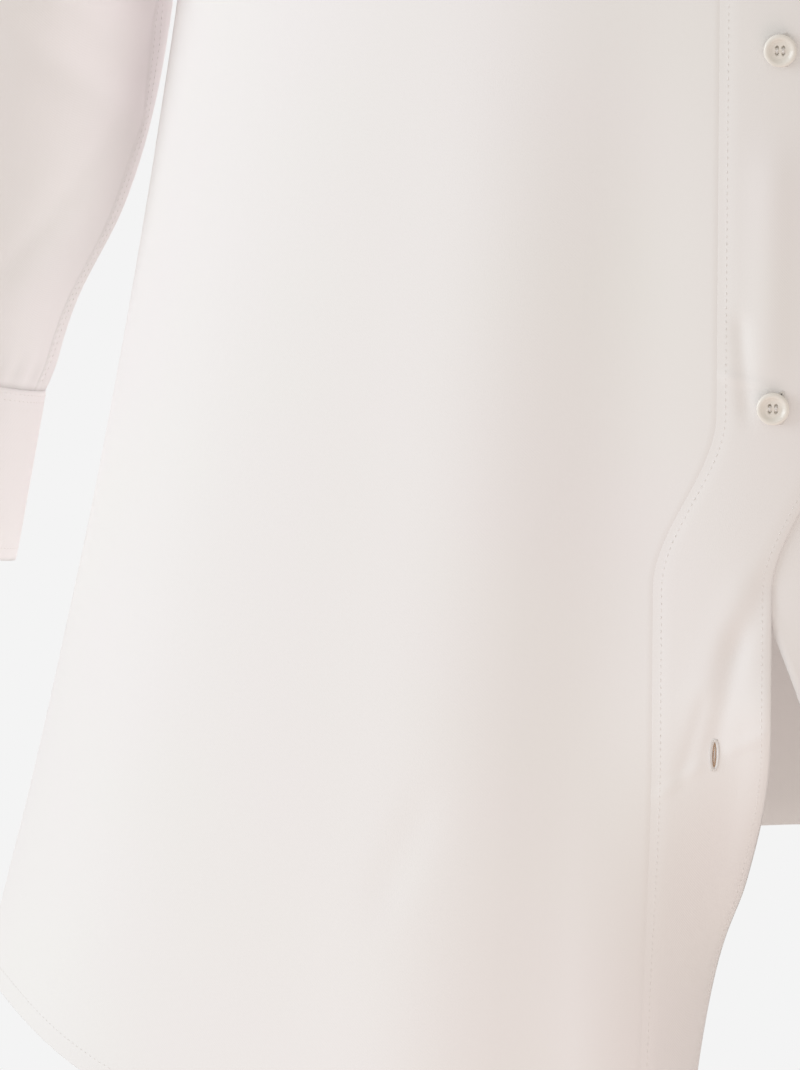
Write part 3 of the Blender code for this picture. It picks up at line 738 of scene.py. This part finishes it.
def split(piece, rows, middle, columns):
    """Open the slits: drop the strip between the two middle columns and join them where they meet."""
    cut = bmesh.new()
    cut.from_mesh(piece.data)
    cut.verts.ensure_lookup_table()
    cut.faces.ensure_lookup_table()
    strip = [cut.faces[r * (columns - 1) + middle] for r in range(rows - 1)]
    bmesh.ops.delete(cut, geom=strip, context="FACES")
    seam = [cut.verts[r * columns + c] for r in range(rows) for c in (middle, middle + 1)]
    bmesh.ops.remove_doubles(cut, verts=seam, dist=2e-6)
    cut.to_mesh(piece.data)
    cut.free()


def placket():
    """Front band: doubled cloth with soft edges over its seam, sewn along both, with slits for buttons."""
    offsets = np.linspace(-OVERLAP, SEAM + PLACKET, PLACKET_COLUMNS + 1)
    base = front_points(right_edge, band_angles(offsets), -1, upper_rows(120), lower_rows(400))
    x = -base[..., 0]
    sewn = np.minimum(offsets + OVERLAP, PLACKET + SEAM - offsets)
    edge = -0.00006 * bell(sewn - BAND_STITCH, 0.0008) - SEAM_DROP * (1 - smooth(sewn / SEAM_BEVEL))
    edge = edge - FREE_DROP * (1 - smooth((PLACKET + SEAM - offsets) / FREE_BEVEL))
    at_hole = slit_width(base[..., 2]) / HOLE_OPEN
    from_hole = (offsets - SEAM - HOLE_LINE * PLACKET)[None, :]
    lips = at_hole * (LIP * bell(from_hole, LIP_WIDTH) - PUCKER * bell(from_hole, PUCKER_WIDTH))
    relief = front_relief(x, base[..., 2]) + edge[None, :] + lips
    placed = roll_back(base) * MIRROR
    out = outward(normals_of(placed), FORWARD)
    grid = raised(placed, out, BAND_MIDDLE + relief)

    middle = int(round((HOLE_LINE * PLACKET + SEAM + OVERLAP) / (PLACKET + SEAM + OVERLAP) * PLACKET_COLUMNS))
    half = slit_width(grid[:, middle, 2])[:, None, None] / 2
    across = unit(np.gradient(grid, axis=1))
    spread = np.clip(1 - np.abs(np.arange(PLACKET_COLUMNS + 1) - middle) / HOLE_EASE, 0, 1)[None, :, None]
    before = grid - across * half * spread
    after = grid + across * half * spread
    opened = np.concatenate((before[:, :middle + 1], after[:, middle:]), axis=1)
    piece = surface("placket", opened)
    split(piece, grid.shape[0], middle, PLACKET_COLUMNS + 2)
    thicken(piece, BAND_SHELL)

    rows = np.linspace(1.0, grid.shape[0] - 2.0, 600)
    inset = BAND_STITCH / PLACKET_STEP
    sew("stitches_placket", (grid, out), ((rows, inset + 0.5), (rows, PLACKET_COLUMNS - inset)), BAND_SHELL)
    satin_stitches("buttonholes_placket", grid, out, middle)
    slit_shade_cord("gimp_open_buttonhole", grid, out, middle)
    return wear(piece, "placket"), grid


def row_at(grid, column, z):
    """Fractional rows at which one column of the grid has these heights."""
    return np.interp(-z, -grid[:, column, 2], np.arange(len(grid)))


def slit_shade_cord(name, grid, out, middle):
    """Cord that lines both lips of the open slit under their stitches; its tan colour is painted shade of the
    slit.
    """
    z = np.linspace(OPEN_HOLE - HOLE_HALF * 0.94, OPEN_HOLE + HOLE_HALF * 0.94, 15)
    rows = row_at(grid, middle, z)
    runs = []
    for side in (-1, 1):
        columns = middle + side * np.maximum(slit_width(z) / 2 - GIMP, 0.0) / PLACKET_STEP
        line = sample(grid, rows, columns)
        runs.append((line[:-1], line[1:], unit(sample(out, rows, columns))[:-1]))
    bars(name, *map(np.concatenate, zip(*runs)), GIMP * 1.2, SLIT_SHADE_TAN)


def satin_stitches(name, grid, out, middle):
    """Close stitches round each slit: rows of short bars on both lips and a bar across each end."""
    face = grid + out * BAND_SHELL / 2
    runs = []
    for hole in HOLES:
        z = np.arange(hole - HOLE_HALF - SATIN * 0.6, hole + HOLE_HALF + SATIN * 0.6, SATIN_PITCH)
        rows, half = row_at(grid, middle, z), slit_width(z) / 2
        for side in (-1, 1):
            near, far = (middle + side * reach / PLACKET_STEP for reach in (half * 0.9, half + SATIN))
            runs.append((sample(face, rows, near), sample(face, rows, far), unit(sample(out, rows, near))))
        for end in (-1, 1):
            rows = row_at(grid, middle, hole + end * (HOLE_HALF + SATIN * np.array((0.15, 0.40, 0.65))))
            near, at, far = (np.full(3, middle + side * SATIN / PLACKET_STEP) for side in (-1, 0, 1))
            runs.append((sample(face, rows, near), sample(face, rows, far), unit(sample(out, rows, at))))
    bars(name, *map(np.concatenate, zip(*runs)), SATIN_PITCH * 0.62)


def back():
    """The back from one side seam to the other, running on inside both seams."""
    end = side_angle("back")
    over = RUN_ON / CHEST_DEPTH["back"]
    turns = np.concatenate((-(end + over[::-1]), np.linspace(-end, end, 181), end + over))
    beyond = np.concatenate((RUN_ON[::-1], np.full(181, ON_FACE), RUN_ON))
    high = upper_point(turns * np.ones_like(UPPER), UPPER, "back")
    z = CHEST_Z + (HEM_SIDE - CHEST_Z) * LOWER * np.ones_like(turns)
    low = lower_point(turns * np.ones_like(z), z, "back")
    base = np.concatenate((high, low), axis=0)[:, ::-1]
    x, z = base[..., 0], base[..., 2]
    relief = (crease_height(x, z, CREASES["back"]) + ripple(x, z, 0.018, 0.0002, 2.3) + hem_band(z)
              + tucked(beyond)[None, :])
    out = outward(normals_of(base), -FORWARD)
    grid = raised(base, out, CLOTH / 2 + relief)
    hem = (row_above_hem(grid, HEM_WIDTH), np.linspace(3.0, grid.shape[1] - 4.0, 500))
    sew("stitches_back", (grid, out), [hem])
    return wear(thicken(surface("back", grid), SHELL), "back"), grid


# ---------- sleeves and cuffs
SLEEVE_ROWS = 164
SEAM_TURN = math.radians(157.0)      # underarm seam, inside the arm and a little to the front
FELL = 0.100                         # width of its fell, radians of the ring
SLEEVE_TURNS = np.radians(np.unique(np.concatenate((np.arange(0, 360.1, 2.5), np.arange(154, 168, 0.5)))))
FELL_RISE = 0.00055
PLEAT = 0.0011                       # height of the pleats over the cuff
TURN_IN = 0.0011                     # the sleeve's end turns in by this much, twice that in front and behind
RING_LENGTH = 0.075                  # metres of cloth for each radian of the ring
SLEEVE_CREASES = (   # x: metres round the ring from the outer side by way of the front; z: metres along
    (0.1, 0.25, 0.19, 0.3, 0.009, -0.0018),
    (0.09, 0.29, 0.2, 0.345, 0.008, 0.0014),
    (0.3, 0.16, 0.39, 0.23, 0.01, -0.002),
    (0.32, 0.23, 0.42, 0.28, 0.011, 0.002),
    (0.35, 0.3, 0.46, 0.34, 0.01, -0.0018),
    (0.01, 0.12, 0.08, 0.21, 0.011, -0.0014),
    (0.03, 0.33, 0.08, 0.4, 0.008, 0.0014),
    (0.24, 0.07, 0.33, 0.11, 0.009, 0.0012),
    (0.215, 0.3, 0.15, 0.4, 0.008, -0.001),
)


def armhole_ring(turn):
    """The armhole's edge: from the shoulder's end down the front to the underarm and up the back."""
    v = 0.5 * (1 + np.cos(turn))
    edges = {part: upper_point(side_angle(part) * np.ones_like(v), v, part) for part in ("front", "back")}
    share = smooth(0.5 + np.sin(turn) / 0.12)[:, None]
    return share * edges["front"] + (1 - share) * edges["back"]


def route(s):
    """Point and direction on the sleeve's middle: a cubic curve pulled by the four route points."""
    p = np.array(SLEEVE_ROUTE)
    s = np.asarray(s, float)[..., None]
    point = cubic(s, *p)
    way = (1 - s)**2 * (p[1] - p[0]) + 2 * (1 - s) * s * (p[2] - p[1]) + s**2 * (p[3] - p[2])
    return point, unit(way)


def route_frame(s):
    """The middle's point, its direction, and the two directions across it: outwards and to the front."""
    point, way = route(s)
    outwards = unit(np.array((1.0, 0.0, 0.0)) - way[..., :1] * way)
    return point, way, outwards, np.cross(way, outwards)


def sleeve_grid():
    """Rings along the sleeve: the armhole's form turning into ellipses on the route."""
    turn = SLEEVE_TURNS
    ring = armhole_ring(turn)
    ring = ring + SLEEVE_TUCK * unit(ring.mean(axis=0) - ring)
    s = np.linspace(0, 1, SLEEVE_ROWS + 1)
    along, wide, deep = np.array(SLEEVE_TABLE).T
    point, way, outwards, front = (array[:, None, :] for array in route_frame(s))
    ovals = (point + through(s, along, wide)[:, None, None] * np.cos(turn)[:, None] * outwards
             + through(s, along, deep)[:, None, None] * np.sin(turn)[:, None] * front)
    carried = ring + SLEEVE_PUSH * s[:, None, None] * np.array((0.93, 0.0, -0.37))
    share = smooth(s / SLEEVE_BLEND)[:, None, None]
    return turn, s, (1 - share) * carried + share * ovals


def sleeve(label, side):
    """Sleeve with its felled underarm seam, elbow creases and small pleats over the cuff."""
    turn, s, grid = sleeve_grid()
    x, z = turn[None, :] * RING_LENGTH, s[:, None] * 0.45
    seam = turn[None, :] - SEAM_TURN
    felled = FELL_RISE * (smooth((seam + 0.006) / 0.012) - smooth((seam - FELL) / 0.016))
    pleats = PLEAT * np.sin(turn * 26)[None, :] * smooth((s - 0.955) / 0.04)[:, None]
    pleats = pleats * (0.3 + 0.7 * bell(turn - math.radians(250), 0.8))[None, :]
    relief = crease_height(x, z, SLEEVE_CREASES) + ripple(x, z, 0.014, 0.0003, 0.7) + felled + pleats
    relief = relief * smooth((1.004 - s) / 0.012)[:, None] * smooth((s + 0.004) / 0.02)[:, None]
    relief = relief - (TURN_IN + TURN_IN * np.sin(turn)[None, :] ** 2) * smooth((s - 0.972) / 0.028)[:, None]
    out = outward(normals_of(grid, closed=True), grid - grid[:, :-1].mean(axis=1, keepdims=True))
    grid = raised(grid, out, relief - CLOTH / 2)
    tuck = raised(grid[:1], out[:1], -0.0006) + (grid[:1] - grid[1:2]) * 2.0
    grid, out = np.concatenate((tuck, grid), axis=0), np.concatenate((out[:1], out), axis=0)
    if side < 0:
        grid, out = grid * MIRROR, out * MIRROR
    else:
        grid, out = grid[:, ::-1], out[:, ::-1]
    piece = thicken(surface(f"sleeve_{label}", grid, closed=True), SHELL)

    seam_at = [float(np.interp(SEAM_TURN + at, turn, np.arange(len(turn)))) for at in (0.018, FELL - 0.012)]
    if side > 0:
        seam_at = [len(turn) - 1 - at for at in seam_at]
    rows = np.linspace(3.0, grid.shape[0] - 2.0, 400)
    lines = [(rows, at) for at in seam_at] + [(4.0, np.linspace(0, len(turn) - 1.001, 300))]
    sew(f"stitches_sleeve_{label}", (grid, out), lines)
    return wear(piece, f"sleeve_{label}"), grid


def lap_turns(count):
    """Angles of a band that closes on itself, and how far its start lies inside its end."""
    turns = np.radians(np.linspace(0, 360 + LAP_DEGREES, count))
    steps = np.degrees(turns) / STEP_DEGREES
    return turns, (BAND + LAP_GAP) * (1 - smooth((steps - LAP_DEGREES / STEP_DEGREES) / 3))


def cuff(label, side):
    """Doubled cuff, lapped and sewn all round its edges."""
    point, way, outwards, front = route_frame(1.0)
    turns, inside = lap_turns(150)
    angle = (turns + math.radians(CUFF_OPENING))[:, None]
    wide, deep = CUFF_HALF_WIDTH - inside[:, None], CUFF_HALF_DEPTH - inside[:, None]
    ring = wide * np.cos(angle) * outwards + deep * np.sin(angle) * front
    down = np.linspace(-CUFF_OVER, CUFF_HEIGHT, 43)
    grid = (point + way * (SEAM + down)[:, None, None] + ring[None, :, :])[:, ::-1]
    out = outward(normals_of(grid), grid - grid.mean(axis=1, keepdims=True))
    sewn = np.minimum(down + CUFF_OVER, CUFF_HEIGHT - down)
    pinch = -0.00022 * bell(sewn - CUFF_STITCH, 0.0009) - 0.0003 * (1 - smooth(sewn / 0.0022))
    grid = raised(grid, out, BAND_MIDDLE + pinch[:, None])
    if side < 0:
        grid, out = (grid * MIRROR)[:, ::-1], (out * MIRROR)[:, ::-1]
    piece = thicken(surface(f"cuff_{label}", grid), BAND_SHELL)
    across = np.linspace(4.0, grid.shape[1] - 5.0, 300)
    row_step = (CUFF_HEIGHT + CUFF_OVER) / 42
    lines = [(at / row_step, across) for at in (0.0016, 0.0040, CUFF_HEIGHT - CUFF_STITCH)]
    sew(f"stitches_cuff_{label}", (grid, out), lines, BAND_SHELL)
    return wear(piece, f"cuff_{label}"), grid


# ---------- collar
def neck_point(angle):
    """Neckline on the form, from the centre front (0) round by the wearer's left."""
    x = NECK_HALF * np.sin(angle)
    at_front = np.cos(angle) > 0
    z = np.where(at_front, neck_z(x, "front"), neck_z(x, "back"))
    y = np.where(at_front, form_y(x, z, "front"), form_y(x, z, "back"))
    return np.stack((x, y, z), axis=-1)


def neckline(angle):
    """The neckline's points and its level outward directions."""
    out = np.cross(neck_point(angle + 0.02) - neck_point(angle - 0.02), UP)
    return neck_point(angle), unit(out * (1.0 - UP))


def collar_stand():
    """Collar stand: up from just inside the neckline, leaning in, lapped at the centre front."""
    turns, inside = lap_turns(170)
    point, out = neckline(turns - math.radians(LAP_DEGREES / 2))
    share = np.linspace(1, -0.10, 27)[:, None]
    inset = STAND_INSET + inside + STAND_LEAN * share
    grid = point + UP * (STAND_LIFT + STAND_HEIGHT * share)[..., None] - out * inset[..., None]
    away = outward(normals_of(grid), out[None])
    grid = raised(grid, away, -BAND / 2)
    across = np.linspace(3.0, grid.shape[1] - 4.0, 300)
    sew("stitches_collar_stand", (grid, away), [(22.0, across)], BAND_SHELL)
    return wear(thicken(surface("collar_stand", grid), BAND_SHELL), "collar_stand"), grid


def form_z(x, y):
    """Height of the form over each place near the neck, found by halving."""
    facing = np.where(y > SHOULDER_Y, 1.0, -1.0)
    low, high = np.full_like(x, CHEST_Z), ridge_z(x)
    for _ in range(24):
        middle = (low + high) / 2
        there = np.where(facing > 0, form_y(x, middle, "back"), form_y(x, middle, "front"))
        beyond = facing * (there - y) > 0
        low, high = np.where(beyond, middle, low), np.where(beyond, high, middle)
    return low


def collar_leaf():
    """Collar leaf: over a tight fold and down outside, its ends spreading to points, sewn near its edge."""
    w = np.linspace(0, 1, 45)[:, None]
    end = np.radians(LEAF_FRONT_GAP + LEAF_SPREAD * w**1.2)
    steps = np.linspace(LEAF_FRONT_GAP, 360 - LEAF_FRONT_GAP, 221)
    angle = math.pi + (steps - 180) / (180 - LEAF_FRONT_GAP) * (math.pi - end)
    point, out = neckline(angle)
    facing = np.cos(angle[-1])
    low_out = LEAF_OUT["back"] + (LEAF_OUT["front"] - LEAF_OUT["back"]) * smooth((facing + 0.7) / 0.9)
    low = point[-1] + out[-1] * low_out[:, None]
    landing = form_z(low[:, 0], low[:, 1]) + LEAF_CLEAR - point[-1, :, 2]
    at_back = smooth((-facing - 0.1) / 0.6)
    low_up = np.maximum(landing, landing * (1 - at_back) + LEAF_FALL * at_back)
    top = STAND_LIFT + STAND_HEIGHT + LEAF_LIFT
    across = cubic(w, -0.0052, -0.001, 0.0105, low_out)
    height = cubic(w, top, top + 0.012, top - 0.006, low_up)
    grid = point + out * across[..., None] + UP * height[..., None]
    away = normals_of(grid)
    away = away * np.sign((away[-3:] * out[-3:]).sum(axis=-1).mean())
    grid = raised(grid, away, BAND / 2)
    rows, columns = grid.shape[:2]
    low_row = rows - 1 - LEAF_STITCH / np.linalg.norm(grid[-1, columns // 2] - grid[-2, columns // 2])
    down = np.linspace(8.0, low_row, 100)
    side = LEAF_STITCH / np.linalg.norm(grid[-10, 1] - grid[-10, 0])
    lines = ((low_row, np.linspace(side, columns - 1 - side, 400)), (down, side), (down, columns - 1 - side))
    sew("stitches_collar_leaf", (grid, away), lines, BAND_SHELL)
    return wear(thicken(surface("collar_leaf", grid), BAND_SHELL), "collar_leaf"), grid


# ---------- buttons
# outline, as shares of radius and thickness, from the middle of its face round to the middle of its back
BUTTON_OUTLINE = np.array((
    (0.0, 0.6), (0.3, 0.6), (0.55, 0.62), (0.66, 0.78), (0.74, 0.95), (0.82, 1.0), (0.92, 0.97),
    (0.98, 0.82), (1.0, 0.6), (0.98, 0.3), (0.9, 0.08), (0.8, 0.0), (0.0, 0.0)))


def button(name):
    """A sewn button on its solid's own place: turned disc with a rim, four holes as deep dimples."""
    node = frame["nodes"][name]
    world = np.array(node.matrix_world)
    points = np.array([vertex.co for vertex in node.data.vertices]) @ world[:3, :3].T + world[:3, 3]
    middle = (points.min(axis=0) + points.max(axis=0)) / 2
    spread = np.linalg.svd(points - points.mean(axis=0), full_matrices=False)[2]
    inside = (math.copysign(0.295, middle[0]), 0.04) if "cuff" in name else (0.0, 0.0)
    out = outward(spread[2], middle - (*inside, middle[2]))
    centre = points.mean(axis=0)
    seat = centre - out * ((centre - points) @ out).max()
    up = unit(UP - out * (UP @ out))
    right = np.cross(up, out)
    t = BUTTON_THICK
    profile = BUTTON_OUTLINE * (BUTTON_RADIUS, t)
    run = lengths(profile)
    at = np.linspace(0, run[-1], 44)
    radius, height = np.interp(at, run, profile[:, 0]), np.interp(at, run, profile[:, 1])
    turn = np.linspace(0, 2 * np.pi, 57)
    x, y = radius[:, None] * np.cos(turn), radius[:, None] * np.sin(turn)
    z = height[:, None] + 0 * turn
    near = np.hypot(np.abs(x) - THREAD_HOLE_AT, np.abs(y) - THREAD_HOLE_AT)
    z = z - np.where(z > t * 0.3, smooth((THREAD_HOLE - near) / 0.00022) * t * 0.5, 0.0)
    grid = seat + x[..., None] * right + y[..., None] * up + z[..., None] * out
    piece = surface(name, grid[:, ::-1])
    hole, top = THREAD_HOLE_AT, seat + out * t * 0.66
    starts = [top + right * hole * sx - up * hole + right * d for sx in (-1, 1) for d in (-0.00016, 0.00016)]
    ends = [start + up * 2 * hole for start in starts]
    ways = np.repeat(out[None], len(starts), axis=0)
    bars(f"thread_{name}", np.array(starts), np.array(ends), ways, 0.00022)
    return wear(piece, name, BUTTON)


for piece, grid in (front("right", -1, right_edge, 150, UNDER_BAND, roll_back),
                    front("left", 1, left_edge, 130, 0.0, lap_under), placket(), back(),
                    sleeve("left", 1), sleeve("right", -1), cuff("left", 1), cuff("right", -1),
                    collar_stand(), collar_leaf()):
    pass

for name in [f"button_{i}" for i in range(1, BUTTON_COUNT + 1)] + ["button_cuff_left", "button_cuff_right"]:
    button(name)


# ---------- floor, light and camera
def plain_floor():
    """A wide pale floor that turns up into a pale backdrop, seen by the camera alone."""
    material = bpy.data.materials.new("pale_studio")
    nodes, links = tree(material)
    nodes.remove(nodes["Principled BSDF"])
    glow = put(nodes, "ShaderNodeEmission", {"Color": PALE})
    links.new(glow.outputs[0], nodes["Material Output"].inputs["Surface"])
    across = np.linspace(-60, 60, 3)
    run = np.array(((-60.0, FLOOR_Z), (0.0, FLOOR_Z), (40.0, FLOOR_Z), (58.0, FLOOR_Z + 6), (60.0, 40.0)))
    grid = np.stack(np.broadcast_arrays(across[:, None], run[:, 0], run[:, 1]), axis=-1)
    floor = surface("studio_floor", grid)
    floor.data.materials.append(material)
    floor.visible_diffuse = floor.visible_glossy = floor.visible_shadow = False


LIGHTS = {
    "room": (0.71, (1.00, 0.95, 0.90)),
    "key": (1.38, (0.84, 0.92, 1.00)),
    "behind": (0.80, (0.95, 0.96, 1.00)),
    "bounce": (2.10, (1.00, 0.73, 0.67)),
    "sleeves": (1.02, (1.00, 0.88, 0.93)),
}


def lamp(name, kind, travel, place=(0.0, 0.0, 0.0), size=0.0):
    """One lamp of the table, shining along its travel direction."""
    light = bpy.data.lights.new(name, kind)
    light.energy, light.color = LIGHTS[name]
    if kind == "SUN":
        light.angle = math.radians(size)
    else:
        light.size = size
    item = bpy.data.objects.new(name, light)
    item.location = place
    item.rotation_euler = Vector(travel).to_track_quat("-Z", "Y").to_euler()
    bpy.context.scene.collection.objects.link(item)
    return item


def soft_light():
    """Even room light, a broad key from the wearer's right, a weaker light from behind, a warm bounce from
    below, and a fill for the right arm."""
    scene = bpy.context.scene
    scene.world = bpy.data.worlds.new("studio")
    nodes, links = tree(scene.world)
    strength, colour = LIGHTS["room"]
    preset(nodes["Background"], {"Color": (*colour, 1.0), "Strength": strength})
    pale = put(nodes, "ShaderNodeBackground", {"Color": PALE})
    ray, both = put(nodes, "ShaderNodeLightPath"), put(nodes, "ShaderNodeMixShader")
    links.new(ray.outputs["Is Camera Ray"], both.inputs["Fac"])
    links.new(nodes["Background"].outputs[0], both.inputs[1])
    links.new(pale.outputs[0], both.inputs[2])
    links.new(both.outputs[0], nodes["World Output"].inputs["Surface"])

    lamp("key", "SUN", (1.0, 0.20, -0.20), size=40.0)
    lamp("behind", "SUN", (-0.25, -1.0, -0.35), size=50.0)
    lamp("bounce", "AREA", (-0.25, 0.60, 0.50), place=(0.25, -0.75, -1.35), size=0.8)
    fill = lamp("sleeves", "SUN", (-1.0, -0.17, -0.10), size=40.0)
    fill.data.use_shadow = False
    arms = bpy.data.collections.new("right_arm")
    for item in bpy.data.objects:
        if "sleeve_right" in item.name or "cuff_right" in item.name:
            arms.objects.link(item)
    fill.light_linking.receiver_collection = arms
    scene.view_settings.view_transform = "Standard"


def photo_camera():
    """Camera at the photograph's angle, its frame 0.357 m tall at the front of the shirt."""
    camera = bpy.data.objects.new("camera", bpy.data.cameras.new("camera"))
    camera.data.sensor_width = 36.0
    camera.data.lens = 36.0 * DISTANCE / FRAME_LONG
    away = Vector((0.0, -math.cos(ELEVATION), math.sin(ELEVATION)))
    camera.location = TARGET + away * DISTANCE
    camera.rotation_euler = (-away).to_track_quat("-Z", "Y").to_euler()
    bpy.context.scene.collection.objects.link(camera)
    bpy.context.scene.camera = camera


plain_floor()
soft_light()
photo_camera()
